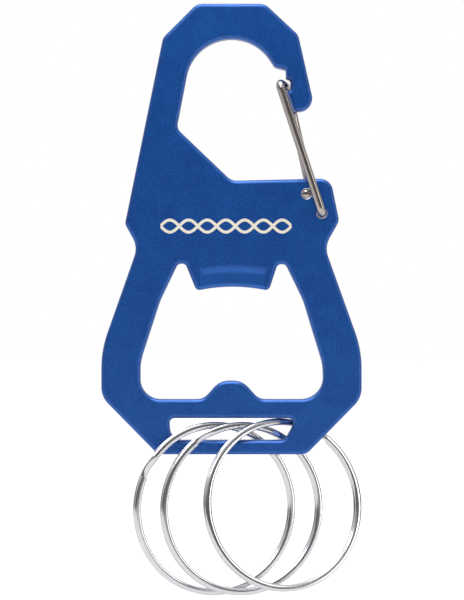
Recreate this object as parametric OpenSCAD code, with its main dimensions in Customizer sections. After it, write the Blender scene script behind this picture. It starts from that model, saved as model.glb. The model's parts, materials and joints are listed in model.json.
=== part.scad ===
// Flat key carabiner with a wire gate, a bottle-opener mouth and three split rings.
// Millimetres. X is the width, Y the thickness (front face towards -Y), Z is up.
// The origin is the centre of the round seat at the top of the hook.

/* [Plate] */
// Thickness of the plate
plate_t = 3; // [2.8:0.1:3.2]
// Radius of the round seat at the top of the hook
seat_r = 7.9; // [7.5:0.1:8]
// Depth of the relief behind the opener's lip
relief_depth = 0.4; // [0.3:0.1:1]
// Chamfer on the edges of the bar that the rings hang from
bar_chamfer = 0.5; // [0.3:0.1:0.6]

/* [Gate] */
// Diameter of the gate's wire
wire_d = 1.5; // [1.4:0.1:1.6]
// Radial clearance of the wire in its two holes
pivot_clearance = 0.07; // [0.03:0.01:0.1]
// Distance from the middle of the plate to the middle of each leg
leg_offset = 2.6; // [2.5:0.1:3]
// How much thicker the wire is where it is bent
bend_swell = 0.02; // [0.01:0.01:0.03]

/* [Split rings] */
// Outside diameter of each ring
ring_od = 30; // [29.8:0.1:30.1]
// Radial width of the ring's wire
ring_wire_w = 1.2; // [1:0.1:1.2]
// Thickness of the two coils together
ring_t = 1.4; // [1.2:0.1:1.4]
// Gap between the two coils
coil_gap = 0.06; // [0.03:0.01:0.1]
// Angle over which the wire steps from one coil to the other
joggle_angle = 14; // [12:1:24]
// Angle between each cut end and the step beside it
end_gap = 2; // [1:0.5:4]

/* [Hidden] */
$fn = 64;
corner_steps = 8;
overcut = 1;
plate_blue = [0.09, 0.28, 0.62];
wire_grey = [0.62, 0.58, 0.55];
ring_grey = [0.78, 0.78, 0.8];

// Where the gate's wire turns: front pivot hole, rear pivot hole, the two ends of its crossbar
// and the slight elbow low on its rear leg
pivot_front = [15.65, -22.4];
pivot_rear = [13, -19];
loop_front = [8.25, 0.05];
loop_rear = [9.75, -0.1];
rear_elbow = [13.35, -16.2];
// Room round the crossbar in the nose, which also takes up its slant
notch_clearance = 0.57;
// Share of the rear leg above its elbow that flexes when the gate opens
heel_share = 0.35;

// Plate outline as [x, z, corner radius], from the top left corner clockwise and round the hook's inside
hook_top = [[-6, 14, 2.2], [5.8, 14, 2.4], [11.6, 8.6, 2.2]];
hook_nose = [[14.6, -4.7, 2.3], [10.8, -4.7, 0.5], [9.5, 0, 0.2], [9.4, 2.5, 0.2], [7.5, 3, 0.9]];
// The seat's ends, where the round cut runs out
seat_right = [6.6, 4.35, 0];
seat_left = [-7.75, 1.5, 0];
hook_inside = [[-9.5, -7.6, 1.8], [0, -16.7, 2.4]];
gate_lobe = [[17.2, -16.3, 2.3], [18.7, -23.7, 1.7], [16.2, -28.2, 3.8]];
foot_right = [[22.6, -46.1, 19], [22.6, -54.4, 4.2], [13, -64.2, 2.2]];
foot_left = [[-12.8, -64.2, 2.2], [-22.6, -54.2, 4], [-22.6, -46.1, 19]];
left_side = [[-16.3, -28.2, 3.8], [-18.5, -24.2, 1.4], [-11.9, 8.1, 2.2]];

// Opener mouth: left horn, lip, right horn, right side, bump, left side
lip_left = [-6.1, -35.8];
lip_right = [6.5, -35.8];
lip_rise = 0.6;
lip_corner = 0.9;
mouth_floor = -54.6;
left_horn = [[-9.3, -31.1, 0.9], [-8, -31.1, 0.9]];
right_horn = [[8, -31.2, 0.9], [9.4, -31.2, 0.9]];
mouth_right = [[12.4, -37.4, 10], [15.8, -48.5, 10], [16, mouth_floor, 3.8]];
mouth_bump = [[4.8, mouth_floor, 2.4], [1.9, -51.4, 3.5], [-2, -51.4, 3.5], [-4.9, mouth_floor, 2.4]];
mouth_left = [[-15.8, mouth_floor, 3.5], [-15.8, -48.1, 10], [-12.4, -37.6, 10]];
relief_top = -32.3;
relief_rise = 0.6;
relief_half_w = 5.9;

// Slot that the rings pass through, and the bar below it
slot_top = -57.9;
bar_top = -61.7;
slot_corners = [[-10.8, slot_top, 0.9], [11.4, slot_top, 0.9], [9.2, bar_top, 1.4], [-10.5, bar_top, 2.1]];
bar_left_x = -8.6;
bar_right_x = 7.9;

// Each ring's centre, its turn about Z and how far its top leans back
ring_left_at = [-2.8, -0.2, -73.6];
ring_left_yaw = 22;
ring_left_lean = 2.3;
ring_middle_at = [1.9, -0.35, -73.6];
ring_middle_yaw = 21;
ring_middle_lean = 3.1;
ring_right_at = [9.05, -0.6, -72.9];
ring_right_yaw = 24;
ring_right_lean = 8.5;
// Where each ring's wire steps across, counted from its right-hand side
ring_left_joggle = 154;
ring_middle_joggle = 124;
ring_right_joggle = 65;

wire_r = wire_d / 2;
ring_r = ring_od / 2;
coil_t = (ring_t - coil_gap) / 2;
coil_y = (coil_t + coil_gap) / 2;

function unit(v) = v / norm(v);
function flat(list) = [for (group = list) each group];

// One rounded corner: points along an arc that touches both sides
function corner_arc(before, at, after, r) =
    let (to_before = unit(before - at), to_after = unit(after - at))
    let (half = acos(to_before * to_after) / 2)
    let (centre = at + unit(to_before + to_after) * r / sin(half))
    let (first = at + to_before * r / tan(half) - centre)
    let (last = at + to_after * r / tan(half) - centre)
    let (turn = 180 - 2 * half)
    let (way = sign(first.x * last.y - first.y * last.x))
    [for (i = [0 : corner_steps])
        let (a = way * turn * i / corner_steps)
        centre + [first.x * cos(a) - first.y * sin(a), first.x * sin(a) + first.y * cos(a)]];

// Outline through [x, z, radius] corners
function rounded(corners) =
    let (n = len(corners))
    flat([for (i = [0 : n - 1])
        let (before = corners[(i + n - 1) % n], at = corners[i], after = corners[(i + 1) % n])
        at[2] == 0 ? [[at.x, at.y]]
            : corner_arc([before.x, before.y], [at.x, at.y], [after.x, after.y], at[2])]);

// Points between two ends of a shallow arch of the given rise, each with no corner radius
function arch(from, to, rise, steps = 12) =
    [for (i = [1 : steps - 1])
        let (s = i / steps)
        [from.x + (to.x - from.x) * s, from.y + (to.y - from.y) * s + rise * 4 * s * (1 - s), 0]];

// A flat outline in X and Z given a thickness along Y
module sheet(points, y_from, y_to) {
    translate([0, y_to, 0])
        rotate([90, 0, 0])
            linear_extrude(y_to - y_from)
                polygon(points);
}

module hole_through(at, r) {
    translate([at.x, 0, at.y])
        rotate([90, 0, 0])
            cylinder(h = plate_t + 2 * overcut, r = r, center = true);
}

module mouth_outline() {
    corners = flat([
        left_horn,
        [[lip_left.x, lip_left.y, lip_corner]],
        arch(lip_left, lip_right, lip_rise),
        [[lip_right.x, lip_right.y, lip_corner]],
        right_horn, mouth_right, mouth_bump, mouth_left,
    ]);
    sheet(rounded(corners), -plate_t / 2 - overcut, plate_t / 2 + overcut);
}

// Shallow pocket in the front face above the lip's edge
module lip_relief() {
    top_left = [-relief_half_w, relief_top];
    top_right = [relief_half_w, relief_top];
    outline = flat([
        [[-relief_half_w, relief_top, 0]],
        arch(top_left, top_right, relief_rise),
        [[relief_half_w, relief_top, 0], [relief_half_w, lip_right.y - 1, 0]],
        [[-relief_half_w, lip_left.y - 1, 0]],
    ]);
    sheet(rounded(outline), -plate_t / 2 - overcut, relief_depth - plate_t / 2);
}

// Chamfer along one upper edge of the bar, side -1 at the front and 1 at the back
module bar_edge_cut(side) {
    size = bar_chamfer * sqrt(2);
    translate([(bar_left_x + bar_right_x) / 2, side * plate_t / 2, bar_top])
        rotate([45, 0, 0])
            cube([bar_right_x - bar_left_x, size, size], center = true);
}

// Hollow in the nose that the gate's crossbar closes into
module gate_notch() {
    hole_through((loop_front + loop_rear) / 2, wire_r + notch_clearance);
}

module body_plate() {
    outline = flat([
        hook_top, hook_nose, [seat_right, seat_left], hook_inside,
        gate_lobe, foot_right, foot_left, left_side,
    ]);
    color(plate_blue) difference() {
        sheet(rounded(outline), -plate_t / 2, plate_t / 2);
        hole_through([0, 0], seat_r);
        gate_notch();
        hole_through(pivot_front, wire_r + pivot_clearance);
        hole_through(pivot_rear, wire_r + pivot_clearance);
        mouth_outline();
        lip_relief();
        sheet(rounded(slot_corners), -plate_t / 2 - overcut, plate_t / 2 + overcut);
        for (side = [-1, 1]) bar_edge_cut(side);
    }
}

// A straight round bar between two points
module bar(from, to) {
    along = to - from;
    translate(from)
        rotate([0, acos(along.z / norm(along)), atan2(along.y, along.x)])
            cylinder(h = norm(along), r = wire_r);
}

// A wire through a list of points, with a ball at each inner one where it turns
module bent_wire(points) {
    last = len(points) - 1;
    for (i = [0 : last - 1]) bar(points[i], points[i + 1]);
    for (i = [1 : last - 1]) translate(points[i]) sphere(r = wire_r + bend_swell);
}

function at_depth(point, y) = [point.x, y, point.y];

rear_corner = at_depth(pivot_rear, leg_offset);
rear_top = at_depth(loop_rear, leg_offset);
elbow = at_depth(rear_elbow, leg_offset);
heel_top = elbow + (rear_top - elbow) * heel_share;

module gate_wire() {
    color(wire_grey) bent_wire([
        at_depth(pivot_front, plate_t / 2),
        at_depth(pivot_front, -leg_offset),
        at_depth(loop_front, -leg_offset),
        rear_top,
        heel_top,
    ]);
}

module gate_heel() {
    color(wire_grey) bent_wire([
        heel_top,
        elbow,
        rear_corner,
        at_depth(pivot_rear, -plate_t / 2),
    ]);
}

// The flat of one coil: a thin ring sector with eased edges from one angle to another, slimmer by slim
module coil(y, from, to, slim = 0) {
    ease = 0.12;
    inner = ring_r - ring_wire_w + slim;
    outer = ring_r - slim;
    half = coil_t / 2 - slim;
    section = [
        [inner + ease, -half], [outer - ease, -half], [outer, ease - half], [outer, half - ease],
        [outer - ease, half], [inner + ease, half], [inner, half - ease], [inner, ease - half],
    ];
    translate([0, y, 0])
        rotate([90, 0, 0])
            rotate([0, 0, from])
                rotate_extrude(angle = to - from, $fn = 96)
                    polygon(section);
}

// One wire wound twice round, stepping from the front coil to the back coil at the joggle
module split_ring(at, yaw, lean, joggle) {
    steps = 5;
    slice = joggle_angle / steps;
    overlap = 0.5;
    once_round = 360 - joggle_angle;
    translate(at) rotate([-lean, 0, yaw]) {
        coil(-coil_y, joggle + end_gap, joggle + once_round);
        coil(coil_y, joggle, joggle + once_round - end_gap);
        for (i = [0 : steps - 1])
            coil(coil_y * (2 * (i + 0.5) / steps - 1), joggle - joggle_angle + slice * i - overlap,
                joggle - joggle_angle + slice * (i + 1) + overlap, 0.01 * (1 + i % 2));
    }
}

module ring_left() {
    color(ring_grey) split_ring(ring_left_at, ring_left_yaw, ring_left_lean, ring_left_joggle);
}

module ring_middle() {
    color(ring_grey) split_ring(ring_middle_at, ring_middle_yaw, ring_middle_lean, ring_middle_joggle);
}

module ring_right() {
    color(ring_grey) split_ring(ring_right_at, ring_right_yaw, ring_right_lean, ring_right_joggle);
}

body_plate();
gate_wire();
gate_heel();
ring_left();
ring_middle();
ring_right();
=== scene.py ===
import json
import math
import bmesh
import bpy
import numpy as np
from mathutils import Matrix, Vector
from mathutils.geometry import delaunay_2d_cdt


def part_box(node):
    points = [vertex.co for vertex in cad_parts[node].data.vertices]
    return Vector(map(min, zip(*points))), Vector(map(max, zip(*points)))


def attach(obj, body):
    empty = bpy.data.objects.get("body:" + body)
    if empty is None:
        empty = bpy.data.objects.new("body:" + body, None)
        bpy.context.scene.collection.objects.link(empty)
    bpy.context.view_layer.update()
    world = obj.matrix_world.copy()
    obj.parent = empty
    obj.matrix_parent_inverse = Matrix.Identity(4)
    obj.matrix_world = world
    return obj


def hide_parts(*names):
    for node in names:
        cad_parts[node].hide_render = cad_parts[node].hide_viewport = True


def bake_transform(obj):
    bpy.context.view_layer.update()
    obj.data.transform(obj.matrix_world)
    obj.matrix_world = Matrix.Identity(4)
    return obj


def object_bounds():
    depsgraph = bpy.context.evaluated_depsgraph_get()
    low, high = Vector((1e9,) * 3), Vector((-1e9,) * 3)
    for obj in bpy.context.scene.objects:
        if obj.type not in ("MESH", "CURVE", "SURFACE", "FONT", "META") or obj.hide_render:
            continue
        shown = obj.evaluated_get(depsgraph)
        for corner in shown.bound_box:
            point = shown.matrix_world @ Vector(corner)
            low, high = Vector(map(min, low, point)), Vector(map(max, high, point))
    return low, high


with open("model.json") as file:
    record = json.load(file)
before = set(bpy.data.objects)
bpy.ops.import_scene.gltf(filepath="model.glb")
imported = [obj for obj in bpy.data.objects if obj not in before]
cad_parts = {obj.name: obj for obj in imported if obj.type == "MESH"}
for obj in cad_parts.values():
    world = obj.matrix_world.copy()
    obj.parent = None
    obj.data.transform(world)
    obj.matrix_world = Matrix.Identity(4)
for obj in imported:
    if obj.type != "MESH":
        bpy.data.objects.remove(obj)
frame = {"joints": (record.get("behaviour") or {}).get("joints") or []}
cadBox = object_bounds()
mm = 0.001  # shapes below are worked out in millimetres, and meshes are made in metres
joints = {j["name"]: j for j in frame["joints"]}


def unit(v):
    return v / np.linalg.norm(v, axis=-1, keepdims=True)


def boxOf(node):
    low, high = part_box(node)
    return np.array(low) / mm, np.array(high) / mm


def makePiece(name, verts, faces, attributes=None, sharpAngle=60, mergeGap=0.002):
    # One mesh object from arrays: doubles merged, faces turned outwards, smooth but for its sharp edges
    mesh = bpy.data.meshes.new(name)
    mesh.from_pydata((np.asarray(verts) * mm).tolist(), [], [list(map(int, f)) for f in faces])
    for key, values in (attributes or {}).items():
        values = np.asarray(values, np.float32)
        kind = "FLOAT" if values.ndim == 1 else "FLOAT_VECTOR"
        layer = mesh.attributes.new(key, kind, "POINT")
        layer.data.foreach_set("value" if values.ndim == 1 else "vector", values.ravel())
    bm = bmesh.new()
    bm.from_mesh(mesh)
    bmesh.ops.remove_doubles(bm, verts=bm.verts, dist=mergeGap * mm)
    bmesh.ops.recalc_face_normals(bm, faces=bm.faces)
    for face in bm.faces:
        face.smooth = True
    for edge in bm.edges:
        edge.smooth = edge.calc_face_angle(0) < math.radians(sharpAngle)
    bm.to_mesh(mesh)
    bm.free()
    piece = bpy.data.objects.new(name, mesh)
    bpy.context.scene.collection.objects.link(piece)
    print(name, len(mesh.polygons), "faces")
    return piece


def gridFaces(rows, columns, closed):
    # Quads between neighbouring rows of a grid of points; closed joins the last column to the first
    r = np.arange(rows - 1)[:, None]
    c = np.arange(columns if closed else columns - 1)[None, :]
    nextC = (c + 1) % columns
    here, above = r * columns, (r + 1) * columns
    return np.stack([here + c, here + nextC, above + nextC, above + c], -1).reshape(-1, 4)


plateShape = {
    "round": 0.66,         # how far the rolled edge reaches in from the outline
    "roundSteps": 9,
    "flatMargin": 0.07,    # a last narrow strip of flat face, which keeps the shading of the face level
    "holeRim": 0.2,        # countersink round each pivot hole
    "arcDegrees": 7,       # a corner has a step for each of these, and one more for each arcPitch it spans
    "arcPitch": 0.8,
    "linePitch": 1.0,
    "facePitch": 1.1,
    "faceGap": 0.25,       # points inside the face stay this far from its rims
    "reliefPitch": 0.28,
    "reliefZone": [[-7, -36.5], [8, -30.6]],  # where the face has this finer pitch
    "reliefDepth": 0.35,
    "reliefRamp": 1.1,
    "reliefMiddle": 0.35,
    "reliefHalf": 6.1,
    "reliefTop": -32.0,    # the relief's upper edge at its ends, and how far it arches up between them
    "reliefRise": 0.55,
    "reliefFoot": -40,     # nothing below this is recessed
}
# Outlines as [x, z, corner radius], clockwise. The hook's round seat is one big corner.
outerOutline = [
    [-6, 14, 2.2], [5.8, 14, 2.4], [11.6, 8.6, 2.2],
    [14.6, -4.7, 2.3], [10.8, -4.7, 0.5],
    [9.65, -1.25, 0.3], [10.27, -0.95, 0.75], [10.27, 0.8, 0.7], [9.44, 0.98, 0.15],
    [9.4, 2.5, 0.2], [7.5, 3, 0.9], [-4.11, 20.41, 7.9],
    [-9.5, -7.6, 1.8], [0, -16.7, 2.4],
    [17.2, -16.3, 2.3], [18.7, -23.7, 1.7], [16.2, -28.2, 3.8],
    [22.6, -46.1, 19], [22.6, -54.4, 4.2], [13, -64.2, 2.2],
    [-12.8, -64.2, 2.2], [-22.6, -54.2, 4], [-22.6, -46.1, 19],
    [-16.3, -28.2, 3.8], [-18.5, -24.2, 1.4], [-11.9, 8.1, 2.2],
]
mouthOutline = [
    [-9.3, -31.1, 0.9], [-8, -31.1, 0.9], [-6.1, -35.8, 0.9], [0.2, -34.6, 28], [6.5, -35.8, 0.9],
    [8, -31.2, 0.9], [9.4, -31.2, 0.9], [12.4, -37.4, 10], [15.8, -48.5, 10], [16, -54.6, 3.8],
    [4.8, -54.6, 2.4], [1.9, -51.4, 3.5], [-2, -51.4, 3.5], [-4.9, -54.6, 2.4],
    [-15.8, -54.6, 3.5], [-15.8, -48.1, 10], [-12.4, -37.6, 10],
]
slotOutline = [[-10.8, -57.9, 0.9], [11.4, -57.9, 0.9], [9.2, -61.7, 1.4], [-10.5, -61.7, 2.1]]


def cornerData(corners, inset):
    # Every side moved parallel to itself into the metal, which lies on the right; outer corners lose that
    # much radius and inner corners gain it
    c, r = corners[:, :2], corners[:, 2]
    dirIn = unit(c - np.roll(c, 1, 0))
    dirOut = unit(np.roll(c, -1, 0) - c)
    rightIn = np.stack([dirIn[:, 1], -dirIn[:, 0]], 1)
    rightOut = np.stack([dirOut[:, 1], -dirOut[:, 0]], 1)
    cosTurn = (dirIn * dirOut).sum(1)
    turn = np.arctan2(dirIn[:, 0] * dirOut[:, 1] - dirIn[:, 1] * dirOut[:, 0], cosTurn)
    moved = c + (rightIn + rightOut) * (inset / (1 + cosTurn))[:, None]
    radius = np.maximum(r + np.sign(turn) * inset, 0)
    reach = radius * np.tan(abs(turn) / 2)
    start = moved - dirIn * reach[:, None]
    centre = start - np.sign(turn)[:, None] * rightIn * radius[:, None]
    return start, centre, turn, moved + dirOut * reach[:, None]


def outline(corners, inset, isHole):
    # Closed line of points: an arc round each corner, then even steps along the straight side after it
    s = plateShape
    corners = np.array(corners, float)
    if isHole:
        corners = corners[::-1]
    start, _, turn, end = cornerData(corners, 0)
    side = np.linalg.norm(np.roll(start, -1, 0) - end, axis=1)
    chord = np.linalg.norm(end - start, axis=1)
    arcSteps = np.ceil(np.abs(turn) / math.radians(s["arcDegrees"]) + chord / s["arcPitch"]).astype(int) + 1
    sideSteps = np.floor(side / s["linePitch"]).astype(int)
    start, centre, turn, end = cornerData(corners, inset)
    nextStart = np.roll(start, -1, 0)
    run = []
    for i in range(len(corners)):
        a = turn[i] * np.linspace(0, 1, arcSteps[i] + 1)
        arm = start[i] - centre[i]
        arc = np.stack([arm[0] * np.cos(a) - arm[1] * np.sin(a), arm[0] * np.sin(a) + arm[1] * np.cos(a)], 1)
        share = (np.arange(1, sideSteps[i] + 1) / (sideSteps[i] + 1))[:, None]
        run += [centre[i] + arc, end[i] + (nextStart[i] - end[i]) * share]
    return np.concatenate(run)


def square(spot, r):
    # Four corners whose rounding makes a full circle of radius r
    x, z = spot
    return [[x - r, z + r, r], [x + r, z + r, r], [x + r, z - r, r], [x - r, z - r, r]]


def insideOf(points, loops):
    # Even-odd rule: how many loop sides a line running right from each point crosses
    crossings = np.zeros(len(points), int)
    for loop in loops:
        a, b = loop, np.roll(loop, -1, 0)
        for part in np.array_split(np.arange(len(points)), max(1, len(points) // 2000)):
            x, z = points[part, 0][:, None], points[part, 1][:, None]
            spans = (a[:, 1] > z) != (b[:, 1] > z)
            drop = np.where(b[:, 1] == a[:, 1], 1, b[:, 1] - a[:, 1])
            crossings[part] += (spans & (x < a[:, 0] + (z - a[:, 1]) * (b[:, 0] - a[:, 0]) / drop)).sum(1)
    return crossings % 2 == 1


def lattice(low, high, pitch):
    x, z = np.meshgrid(np.arange(low[0], high[0], pitch), np.arange(low[1], high[1], pitch))
    x = x + (np.arange(len(x)) % 2)[:, None] * pitch / 2  # every other row is shifted by half a step
    return np.stack([x.ravel(), z.ravel()], 1)


def farFrom(points, others, gap):
    near = np.concatenate([
        np.linalg.norm(p[:, None] - others[None], axis=2).min(1)
        for p in np.array_split(points, max(1, len(points) // 500))])
    return points[near > gap]


def fillFace(loops, extra):
    # Triangles over the metal between the loops, through the extra points
    points = np.concatenate(loops + [extra])
    starts = np.cumsum([0] + [len(l) for l in loops])
    edges = [(int(s + i), int(s + (i + 1) % len(l))) for s, l in zip(starts, loops) for i in range(len(l))]
    spots, _, triangles, _, _, _ = delaunay_2d_cdt([Vector(p) for p in points], edges, [], 0, 1e-5)
    spots = np.array([tuple(p) for p in spots])
    triangles = np.array(triangles)
    first, second, third = spots[triangles].transpose(1, 2, 0)
    toSecond, toThird = second - first, third - first
    area = abs(toSecond[0] * toThird[1] - toSecond[1] * toThird[0])
    isReal = area > 1e-4  # straight sides leave flat slivers
    return spots, triangles[insideOf(spots[triangles].mean(1), loops) & isReal]


def smooth(x):
    x = np.clip(x, 0, 1)
    return x * x * (3 - 2 * x)


def reliefShare(x, z):
    # 0 on the face, 1 on the relief's floor: it ramps down from an arched upper edge and from both ends
    s = plateShape
    across = (x - s["reliefMiddle"]) / s["reliefHalf"]
    top = s["reliefTop"] + s["reliefRise"] * (1 - across ** 2)
    depthIn = np.minimum(top - z, s["reliefHalf"] - abs(x - s["reliefMiddle"]))
    return smooth(depthIn / s["reliefRamp"]) * (z > s["reliefFoot"])


def rollProfile(half, reach):
    # (inset, depth) pairs over one edge from the back face to the front: quarter circle, wall, quarter circle
    a = np.radians(np.linspace(0, 90, plateShape["roundSteps"]))
    front = np.stack([reach * (1 - np.cos(a)), -(half - reach) - reach * np.sin(a)], 1)
    last = [[reach + plateShape["flatMargin"], -half]]
    front = np.concatenate([front, last])
    return np.concatenate([front[::-1] * [1, -1], front])


def buildPlate():
    s = plateShape
    low, high = boxOf("body_plate")
    half = (high[1] - low[1]) / 2
    holes = [square(pivotFront, holeR), square(pivotRear, holeR)]
    edges = [(outerOutline, False, s["round"])]
    edges += [(opening, True, s["round"]) for opening in (mouthOutline, slotOutline)]
    edges += [(hole, True, s["holeRim"]) for hole in holes]
    verts, faces, edgeShare, rims = [], [], [], []
    count = 0
    for corners, isHole, reach in edges:
        profile = rollProfile(half, reach)
        rows = [outline(corners, inset, isHole) for inset, _ in profile]
        flat = np.stack(rows)
        depth = np.broadcast_to(profile[:, 1][:, None, None], flat.shape[:2] + (1,))
        grid = np.concatenate([flat[..., :1], depth, flat[..., 1:]], 2)
        verts.append(grid.reshape(-1, 3))
        faces += (gridFaces(len(profile), flat.shape[1], True) + count).tolist()
        edgeShare.append(np.repeat(np.clip(1 - profile[:, 0] / reach, 0, 1), flat.shape[1]))
        count += flat.shape[0] * flat.shape[1]
        rims.append(rows[-1])
    zoneLow, zoneHigh = s["reliefZone"]
    fine = lattice(zoneLow, zoneHigh, s["reliefPitch"])
    wide = lattice([low[0], low[2]], [high[0], high[2]], s["facePitch"])
    wide = wide[~((wide > zoneLow) & (wide < zoneHigh)).all(1)]
    extra = np.concatenate([wide, fine])
    extra = extra[insideOf(extra, rims)]
    sides = [rim + (np.roll(rim, -1, 0) - rim) * share for rim in rims for share in (0, 0.25, 0.5, 0.75)]
    extra = farFrom(extra, np.concatenate(sides), s["faceGap"])
    spots, triangles = fillFace(rims, extra)
    for y in (half, -half):
        verts.append(np.stack([spots[:, 0], np.full(len(spots), y), spots[:, 1]], 1))
        faces += (triangles + count).tolist()
        edgeShare.append(np.zeros(len(spots)))
        count += len(spots)
    verts = np.concatenate(verts)
    recess = reliefShare(verts[:, 0], verts[:, 2])
    verts[:, 1] += recess * s["reliefDepth"] * np.clip(-verts[:, 1] / half, 0, 1)
    share = {"edgeShare": np.concatenate(edgeShare), "reliefShare": recess * (verts[:, 1] < 0)}
    return makePiece("anodisedPlate", verts, faces, share)


wireShape = {
    "radius": 0.75,
    "cadSwell": 0.02,      # the CAD wire is this much thicker at its corners
    "bend": 0.95,          # radius of each bend, at the middle of the wire
    "sides": 28,
    "pitch": 0.22,
    "tipChamfer": 0.2,
    "rearShift": [1.5, -0.15],  # the rear end of the crossbar, from its front end
    "elbow": [13.35, -16.2],    # where the rear leg turns a little
    "rearHole": [13, -19],
    "heelShare": 0.35,     # share of the rear leg above its elbow that belongs to the heel
    "holeClearance": 0.07,
    "endMargin": 0.02,     # no section comes this close to a chamfer's own sections
    "streakRate": 0.06,    # how fast the drawn streaks change along the wire
}
wireLow, wireHigh = boxOf("gate_wire")
cadRadius = wireShape["radius"] + wireShape["cadSwell"]
holeR = wireShape["radius"] + wireShape["holeClearance"]
pivotFront = (np.array(joints["gate_swing"]["pos_m"]) / mm)[[0, 2]]
pivotRear = np.array(wireShape["rearHole"])
loopFront = np.array([wireLow[0] + cadRadius, wireHigh[2] - cadRadius])
loopRear = loopFront + wireShape["rearShift"]
legY = wireHigh[1] - cadRadius
plateHalf = boxOf("body_plate")[1][1]


def at(spot, y):
    return np.array([spot[0], y, spot[1]])


rearCorner, rearTop, elbow = at(pivotRear, legY), at(loopRear, legY), at(wireShape["elbow"], legY)
heelTop = elbow + (rearTop - elbow) * wireShape["heelShare"]


def bentPath(points, bend, pitch):
    # Straight runs joined by circular arcs that touch both runs
    points = np.array(points, float)
    ways = unit(np.diff(points, axis=0))
    runs, last = [], points[0]
    for corner, wayIn, wayOut in zip(points[1:-1], ways[:-1], ways[1:]):
        turn = math.acos(np.clip(wayIn @ wayOut, -1, 1))
        begin = corner - wayIn * bend * math.tan(turn / 2)
        inward = unit(wayOut - wayIn * (wayIn @ wayOut))
        a = np.linspace(0, turn, max(8, int(bend * turn / (pitch * 0.6))))[:, None]
        arc = begin + bend * (np.sin(a) * wayIn + (1 - np.cos(a)) * inward)
        steps = max(2, int(np.linalg.norm(begin - last) / pitch))
        runs += [last + (begin - last) * np.linspace(0, 1, steps)[:-1, None], arc[:-1]]
        last = arc[-1]
    steps = max(2, int(np.linalg.norm(points[-1] - last) / pitch))
    return np.concatenate(runs + [last + (points[-1] - last) * np.linspace(0, 1, steps)[:, None]])


def tipStations(isChamfered):
    # (distance from the wire's end, radius) for each section near it, from its closed middle outwards
    c, r = wireShape["tipChamfer"], wireShape["radius"]
    if not isChamfered:
        return [(0, 0)]
    return [(0, 0), (0, r - c), (c * 0.35, r - c * 0.35), (c, r)]


def wireAlong(name, points, chamferStart, chamferEnd):
    # A round section carried along the path, square to it, and closed by a flat disc at each end
    s = wireShape
    path = bentPath(points, s["bend"], s["pitch"])
    along = unit(np.gradient(path, axis=0))
    run = np.concatenate([[0], np.cumsum(np.linalg.norm(np.diff(path, axis=0), axis=1))])
    tip = s["tipChamfer"] + s["endMargin"]
    inner = run[(run > (tip if chamferStart else -1)) & (run < run[-1] - (tip if chamferEnd else -1))]
    start, end = tipStations(chamferStart), tipStations(chamferEnd)[::-1]
    stations = np.array([q[0] for q in start] + list(inner) + [run[-1] - q[0] for q in end])
    radii = np.array([q[1] for q in start] + [s["radius"]] * len(inner) + [q[1] for q in end])
    centre = np.stack([np.interp(stations, run, path[:, k]) for k in range(3)], 1)
    along = unit(np.stack([np.interp(stations, run, along[:, k]) for k in range(3)], 1))
    lean = np.array([0.96, 0, 0.28])  # nearly square to the pins and the legs, so never along the wire
    side = unit(np.cross(along, lean))
    other = np.cross(side, along)
    a = np.radians(np.arange(s["sides"]) * 360 / s["sides"])[None, :, None]
    ring = np.cos(a) * side[:, None] + np.sin(a) * other[:, None]
    verts = centre[:, None] + ring * radii[:, None, None]
    grain = np.broadcast_arrays(np.cos(a[..., 0]), np.sin(a[..., 0]), stations[:, None] * s["streakRate"])
    return makePiece(name, verts.reshape(-1, 3), gridFaces(len(stations), s["sides"], True),
                     {"grainAt": np.stack(grain, -1).reshape(-1, 3)})


ringShape = {
    "width": 1.2,          # across the ring, from its inside to its outside
    "coilThick": 0.67,
    "gap": 0.06,
    "outerR": 15,
    "joggle": 14,          # degrees over which the wire steps from the front coil to the back coil
    "endGap": 2,
    "crown": 2.6,          # 2 would make the wire's section an ellipse, and more makes it squarer
    "sectionSteps": 32,
    "pitch": 1.25,         # degrees between sections
    "streakAcross": 2.5,   # how fast the drawn streaks change across the wire and along it
    "streakRate": 0.8,
}
# How each ring lies: turn about Z, lean of its top backwards, and where its step ends, in degrees
ringLies = {
    "left_ring": ("ring_left", 22, 2.3, 154),
    "middle_ring": ("ring_middle", 21, 3.1, 124),
    "right_ring": ("ring_right", 24, 8.5, 65),
}


def flatWireSection(width, thick):
    # A squarish ellipse, as (outwards, backwards) offsets: |u|^n + |v|^n = 1
    a = np.radians(np.arange(ringShape["sectionSteps"]) * 360 / ringShape["sectionSteps"])
    power = 2 / ringShape["crown"]
    u = np.sign(np.cos(a)) * abs(np.cos(a)) ** power
    v = np.sign(np.sin(a)) * abs(np.sin(a)) ** power
    return np.stack([u * width / 2, v * thick / 2], 1)


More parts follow.
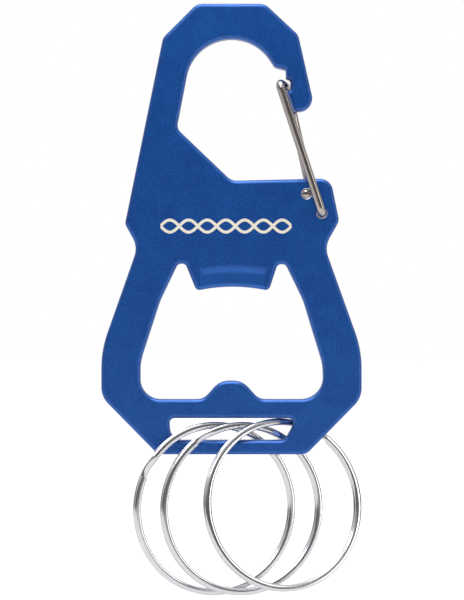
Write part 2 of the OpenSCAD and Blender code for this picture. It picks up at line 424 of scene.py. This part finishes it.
def buildRing(name, node, yaw, lean, joggleEnd):
    # The section goes twice round the circle, and moves back by one coil before its second round, on a
    # smooth step
    s = ringShape
    low, high = boxOf(node)
    centre = (low + high) / 2
    first, last = joggleEnd + s["endGap"], joggleEnd + 720 - s["joggle"] - s["endGap"]
    a = np.linspace(first, last, int((last - first) / s["pitch"]))
    step = smooth((a - (joggleEnd + 360 - s["joggle"])) / s["joggle"])
    back = (s["coilThick"] + s["gap"]) / 2 * (2 * step - 1)
    a = np.concatenate([a[:1], a, a[-1:]])  # the doubled ends close to a point in the middle of each cut face
    back = np.concatenate([back[:1], back, back[-1:]])
    size = np.concatenate([[0], np.ones(len(a) - 2), [0]])[:, None]
    section = flatWireSection(s["width"], s["coilThick"])
    radial = s["outerR"] - s["width"] / 2 + section[None, :, 0] * size
    depth = back[:, None] + section[None, :, 1] * size
    turn = np.radians(a)[:, None]
    flat = np.stack([radial * np.cos(turn), depth, radial * np.sin(turn)], -1).reshape(-1, 3)
    cx, sx = math.cos(math.radians(-lean)), math.sin(math.radians(-lean))
    cz, sz = math.cos(math.radians(yaw)), math.sin(math.radians(yaw))
    tilt = np.array([[1, 0, 0], [0, cx, -sx], [0, sx, cx]])
    spin = np.array([[cz, -sz, 0], [sz, cz, 0], [0, 0, 1]])
    verts = flat @ (spin @ tilt).T + centre
    streaks = section[None] * s["streakAcross"]
    grain = np.broadcast_arrays(streaks[..., 0], streaks[..., 1], turn * s["streakRate"])
    return makePiece(name, verts, gridFaces(len(a), len(section), True),
                     {"grainAt": np.stack(grain, -1).reshape(-1, 3)})


class Field:
    # One number that varies over a surface; sums and products of fields become Math nodes
    def __init__(self, wiring, socket):
        self.wiring, self.socket = wiring, socket

    def math(self, operation, other=0.0, flip=False):
        a, b = (other, self) if flip else (self, other)
        return self.wiring.field("ShaderNodeMath", {"operation": operation}, {0: a, 1: b})

    def __add__(self, other):
        return self.math("ADD", other)

    def __radd__(self, other):
        return self.math("ADD", other, True)

    def __sub__(self, other):
        return self.math("SUBTRACT", other)

    def __rsub__(self, other):
        return self.math("SUBTRACT", other, True)

    def __mul__(self, other):
        return self.math("MULTIPLY", other)

    def __rmul__(self, other):
        return self.math("MULTIPLY", other, True)

    def __truediv__(self, other):
        return self.math("DIVIDE", other)

    def clip(self):
        return self.math("MAXIMUM", 0.0).math("MINIMUM", 1.0)


class Wiring:
    # The nodes of one finish or of the world
    def __init__(self, tree):
        self.tree = tree

    def node(self, kind, settings=None, inputs=None):
        made = self.tree.nodes.new(kind)
        for key, value in (settings or {}).items():
            setattr(made, key, value)
        for key, value in (inputs or {}).items():
            self.feed(made.inputs[key], value)
        return made

    def feed(self, socket, value):
        if isinstance(value, Field):
            value = value.socket
        if isinstance(value, bpy.types.NodeSocket):
            self.tree.links.new(value, socket)
        else:
            socket.default_value = value

    def field(self, kind, settings=None, inputs=None):
        return Field(self, self.node(kind, settings, inputs).outputs[0])

    def tint(self, share, plain, full):
        mixed = self.node("ShaderNodeMix", {"data_type": "RGBA"}, {0: share, 6: plain, 7: full})
        return mixed.outputs[2]

    def place(self):
        # Object coordinates in millimetres, and their three parts
        where = self.node("ShaderNodeTexCoord").outputs["Object"]
        scale = self.node("ShaderNodeVectorMath", {"operation": "SCALE"}, {0: where, "Scale": 1 / mm})
        scaled = scale.outputs[0]
        parts = self.node("ShaderNodeSeparateXYZ", None, {0: scaled}).outputs
        return scaled, [Field(self, part) for part in parts]

    def noise(self, where, scale, detail=2.0, roughness=0.5):
        inputs = {"Vector": where, "Scale": scale, "Detail": detail, "Roughness": roughness}
        return self.field("ShaderNodeTexNoise", None, inputs)

    def bump(self, strength, distance, height):
        inputs = {"Strength": strength, "Distance": distance * mm, "Height": height}
        return self.node("ShaderNodeBump", None, inputs).outputs[0]

    def carried(self, name, output=2):
        # A number (output 2) or vector (output 1) that the mesh carries
        return self.node("ShaderNodeAttribute", {"attribute_name": name}).outputs[output]


def newFinish(name, **constants):
    material = bpy.data.materials.new(name)
    material.use_nodes = True
    wiring = Wiring(material.node_tree)
    shader = material.node_tree.nodes["Principled BSDF"]
    for key, value in constants.items():
        shader.inputs[key.replace("_", " ")].default_value = value
    return material, wiring, shader


def rgb(r, g, b):
    return (r, g, b, 1.0)


plateFinish = {
    "deep": rgb(0.001, 0.065, 0.325),
    "bright": rgb(0.006, 0.108, 0.435),
    # lavender for the rolled edges: partly wear, partly a painted highlight for the light the bevels catch
    "wornEdgeAndSheen": rgb(0.15, 0.26, 0.6),
    "relief": rgb(0.012, 0.13, 0.5),
    "bare": rgb(0.78, 0.78, 0.84),
    "roughness": 0.42,
    "metallic": 0.82,
    "coat": 0.5,
    "coatRoughness": 0.25,
    "speckle": 2.6,        # speckles in each millimetre
    "mottle": 0.35,
    "pits": 8.32,
    "speckleShare": 2.6,   # how strongly each of them moves the colour from deep to bright
    "mottleShare": 1.2,
    "brightShare": 0.45,
    "edgeWearAndSheen": 0.25,
    "speckleWearAndSheen": 0.5,
    "wearAndSheenTint": 0.45,
    "reliefTint": 0.6,
    "pitRough": 0.22,      # what the pits add to the roughness, and what the worn parts take from it
    "edgeSmooth": 0.06,
    "reliefSmooth": 0.04,
    "rimSmooth": 0.12,
    "grainStrength": 0.35,
    "grainDepth": 0.02,
    "speckleGrain": 0.6,
    "inkGrain": 1.5,
    "rimReach": 0.14,      # how far bare metal shows round each pivot hole
}
bandPrint = {
    "left": -12.3, "right": 10.4, "middle": -24.6, "height": 2.6,
    "stroke": 0.5, "links": 7,
    "ink": rgb(0.80, 0.76, 0.64),
    "roughness": 0.6,
}


def bandMask(x, y, z):
    # A braid: two mirrored sine lines that cross at every half turn
    p = bandPrint
    swing = (p["height"] - p["stroke"]) / 2
    rate = math.pi * p["links"] / (p["right"] - p["left"])
    phase = (x - p["left"]) * rate
    slope = phase.math("COSINE") * (swing * rate)
    steep = (slope * slope + 1).math("SQRT")
    height = (z - p["middle"]).math("ABSOLUTE")
    line = phase.math("SINE").math("ABSOLUTE") * swing
    off = (height - line).math("ABSOLUTE") / steep
    onLine = off.math("LESS_THAN", p["stroke"] / 2)
    between = x.math("GREATER_THAN", p["left"]) * x.math("LESS_THAN", p["right"])
    return onLine * (between * y.math("LESS_THAN", 0.0))


def holeMask(x, z, spot):
    dx, dz = x - float(spot[0]), z - float(spot[1])
    return (dx * dx + dz * dz).math("LESS_THAN", (holeR + plateFinish["rimReach"]) ** 2)


def anodisedFinish():
    f = plateFinish
    coat = {"Coat_Weight": f["coat"], "Coat_Roughness": f["coatRoughness"]}
    material, wiring, shader = newFinish("anodisedBlue", **coat)
    where, (x, y, z) = wiring.place()
    speckle = wiring.noise(where, f["speckle"], 3.0, 0.65)
    mottle = wiring.noise(where, f["mottle"])
    pits = wiring.noise(where, f["pits"], 2.0, 0.6)
    share = (speckle - 0.5) * f["speckleShare"] + (mottle - 0.5) * f["mottleShare"] + f["brightShare"]
    share = share.clip()
    blue = wiring.tint(share, f["deep"], f["bright"])
    edge = Field(wiring, wiring.carried("edgeShare"))
    relief = Field(wiring, wiring.carried("reliefShare"))
    # Every rolled edge gets the same lavender tint: partly wear, partly a painted highlight standing in for
    # the light on the bevels
    wearAndSheen = (edge * (f["edgeWearAndSheen"] + speckle * f["speckleWearAndSheen"])).clip()
    blue = wiring.tint(relief * f["reliefTint"], blue, f["relief"])
    blue = wiring.tint(wearAndSheen * f["wearAndSheenTint"], blue, f["wornEdgeAndSheen"])
    rim = holeMask(x, z, pivotFront).math("MAXIMUM", holeMask(x, z, pivotRear))
    blue = wiring.tint(rim, blue, f["bare"])
    ink = bandMask(x, y, z)
    wiring.feed(shader.inputs["Base Color"], wiring.tint(ink, blue, bandPrint["ink"]))
    rough = f["roughness"] + (pits - 0.5) * f["pitRough"]
    rough = rough - edge * f["edgeSmooth"] - relief * f["reliefSmooth"] - rim * f["rimSmooth"]
    wiring.feed(shader.inputs["Roughness"], rough * (1 - ink) + ink * bandPrint["roughness"])
    wiring.feed(shader.inputs["Metallic"], (1 - ink) * f["metallic"])
    height = pits + speckle * f["speckleGrain"] + ink * f["inkGrain"]
    wiring.feed(shader.inputs["Normal"], wiring.bump(f["grainStrength"], f["grainDepth"], height))
    return material


wireFinish = {
    "streakShare": 1.6,    # how strongly the streaks move the colour from dull to bright
    "streakRough": 0.12,
    "cloud": 0.5,          # cloudy patches in each millimetre
    "cloudRough": 0.08,
    "grainStrength": 0.12,
    "grainDepth": 0.01,
}
gateSteel = {
    "bright": rgb(0.56, 0.50, 0.47),
    "dull": rgb(0.42, 0.37, 0.345),
    "roughness": 0.14,
    "streaks": 5.0,
}
ringNickel = {
    "bright": rgb(0.80, 0.80, 0.82),
    "dull": rgb(0.68, 0.68, 0.70),
    "roughness": 0.13,
    "streaks": 3.0,
}


def drawnFinish(name, metal):
    # Drawn wire: fine streaks along it, carried by the mesh, and a faint cloudiness
    f = wireFinish
    material, wiring, shader = newFinish(name, Metallic=1.0)
    where, _ = wiring.place()
    streaks = wiring.noise(wiring.carried("grainAt", 1), metal["streaks"], 3.0, 0.6)
    cloud = wiring.noise(where, f["cloud"], 3.0)
    share = ((streaks - 0.5) * f["streakShare"] + (cloud - 0.5) + 0.5).clip()
    wiring.feed(shader.inputs["Base Color"], wiring.tint(share, metal["dull"], metal["bright"]))
    rough = metal["roughness"] + (streaks - 0.5) * f["streakRough"] + (cloud - 0.5) * f["cloudRough"]
    wiring.feed(shader.inputs["Roughness"], rough)
    wiring.feed(shader.inputs["Normal"], wiring.bump(f["grainStrength"], f["grainDepth"], streaks))
    return material


plate = buildPlate()
plate.data.materials.append(anodisedFinish())
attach(plate, "plate")
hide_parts("body_plate")

steel = drawnFinish("gateSteel", gateSteel)
frontLeg = [at(pivotFront, plateHalf), at(pivotFront, -legY), at(loopFront, -legY)]
loop = wireAlong("gateLoop", frontLeg + [rearTop, heelTop], True, False)
heel = wireAlong("gateHeel", [heelTop, elbow, rearCorner, at(pivotRear, -plateHalf)], False, True)
for piece, node in ((loop, "gate_wire"), (heel, "gate_heel")):
    piece.data.materials.append(steel)
    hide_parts(node)
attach(loop, "gate")
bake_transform(heel)

nickel = drawnFinish("brightNickel", ringNickel)
for body, (node, yaw, lean, joggleEnd) in ringLies.items():
    ring = buildRing(body.replace("_ring", "SplitRing"), node, yaw, lean, joggleEnd)
    ring.data.materials.append(nickel)
    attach(ring, body)
    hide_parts(node)
print("pieces made")


studio = {
    "cameraAt": [0.09, -340, -37.4],
    "viewHeight": 104.35,  # what the picture shows from bottom to top, at the plate
    "floorDrop": 6.0,
    "floorR": 1500,
    "floorSides": 96,
    "floorShade": 0.76,
    "floorGlow": 0.5,      # only the camera sees this, so that the floor is as pale as the backdrop
    "skyFront": 0.13, "skyBack": 0.85, "skyTop": 0.8, "skyLow": 0.45,
    "backFrom": 0.1, "backOver": 0.4,    # where each part of the sky starts, and over what share it fades in
    "topFrom": 0.2, "topOver": 0.45,
    "lowFrom": 0.2, "lowOver": 0.4,
    "filmWidth": 36,
}
# Name, place, width and height, and watts of each light
softLights = [
    ("topSoftbox", [-40, -120, 420], [420, 300], 1.6),
    ("frontSoftbox", [-60, -520, 330], [260, 160], 0.58),
    ("rightStrip", [410, -235, 0], [110, 300], 0.26),
    ("leftStrip", [-420, -120, 40], [60, 420], 0.07),
]


def light(name, spot, size, power, aim):
    data = bpy.data.lights.new(name, "AREA")
    data.shape = "RECTANGLE"
    data.size, data.size_y = size[0] * mm, size[1] * mm
    data.energy = power
    lamp = bpy.data.objects.new(name, data)
    lamp.location = Vector(spot) * mm
    lamp.rotation_euler = (Vector(aim) - Vector(spot)).to_track_quat("-Z", "Y").to_euler()
    bpy.context.scene.collection.objects.link(lamp)


def layFloor(bottom):
    s = studio
    a = np.radians(np.arange(s["floorSides"]) * 360 / s["floorSides"])
    level = np.full(s["floorSides"], bottom - s["floorDrop"])
    rim = np.stack([np.cos(a) * s["floorR"], np.sin(a) * s["floorR"], level], 1)
    floor = makePiece("floor", rim, [list(range(s["floorSides"]))])
    material, wiring, shader = newFinish("paleFloor", Roughness=0.6, Emission_Strength=s["floorGlow"])
    shader.inputs["Base Color"].default_value = rgb(s["floorShade"], s["floorShade"], s["floorShade"])
    seen = wiring.field("ShaderNodeLightPath")
    wiring.feed(shader.inputs["Emission Color"], wiring.tint(seen, rgb(0, 0, 0), rgb(1, 1, 1)))
    floor.data.materials.append(material)


def paintSky():
    # Grey walls that are lightest behind, a light top and a mid-grey underside; the camera itself sees white
    s = studio
    world = bpy.data.worlds.new("studio")
    bpy.context.scene.world = world
    world.use_nodes = True
    wiring = Wiring(world.node_tree)
    way = wiring.node("ShaderNodeTexCoord").outputs["Generated"]
    parts = wiring.node("ShaderNodeSeparateXYZ", None, {0: way}).outputs
    back, up = Field(wiring, parts[1]), Field(wiring, parts[2])
    behind = ((back - s["backFrom"]) / s["backOver"]).clip()
    above = ((up - s["topFrom"]) / s["topOver"]).clip()
    below = ((-s["lowFrom"] - up) / s["lowOver"]).clip()
    walls = s["skyFront"] + behind * (s["skyBack"] - s["skyFront"])
    sky = walls + above * (s["skyTop"] - walls) + below * (s["skyLow"] - walls)
    level = sky + wiring.field("ShaderNodeLightPath") * (1 - sky)
    grey = wiring.node("ShaderNodeCombineXYZ", None, {0: level, 1: level, 2: level}).outputs[0]
    wiring.feed(world.node_tree.nodes["Background"].inputs["Color"], grey)


def placeCamera():
    s = studio
    camera = bpy.data.cameras.new("camera")
    camera.sensor_width = s["filmWidth"]
    camera.lens = s["filmWidth"] * -s["cameraAt"][1] / s["viewHeight"]
    camera.clip_start, camera.clip_end = 0.01, 10
    eye = bpy.data.objects.new("camera", camera)
    eye.location = Vector(s["cameraAt"]) * mm
    eye.rotation_euler = (math.pi / 2, 0, 0)
    bpy.context.scene.collection.objects.link(eye)
    bpy.context.scene.camera = eye


bottom, top = cadBox[0][2] / mm, cadBox[1][2] / mm
layFloor(bottom)
for name, spot, size, power in softLights:
    light(name, spot, size, power, [0, 0, (bottom + top) / 2])
paintSky()
placeCamera()
bpy.context.scene.view_settings.view_transform = "Standard"
print("studio made")
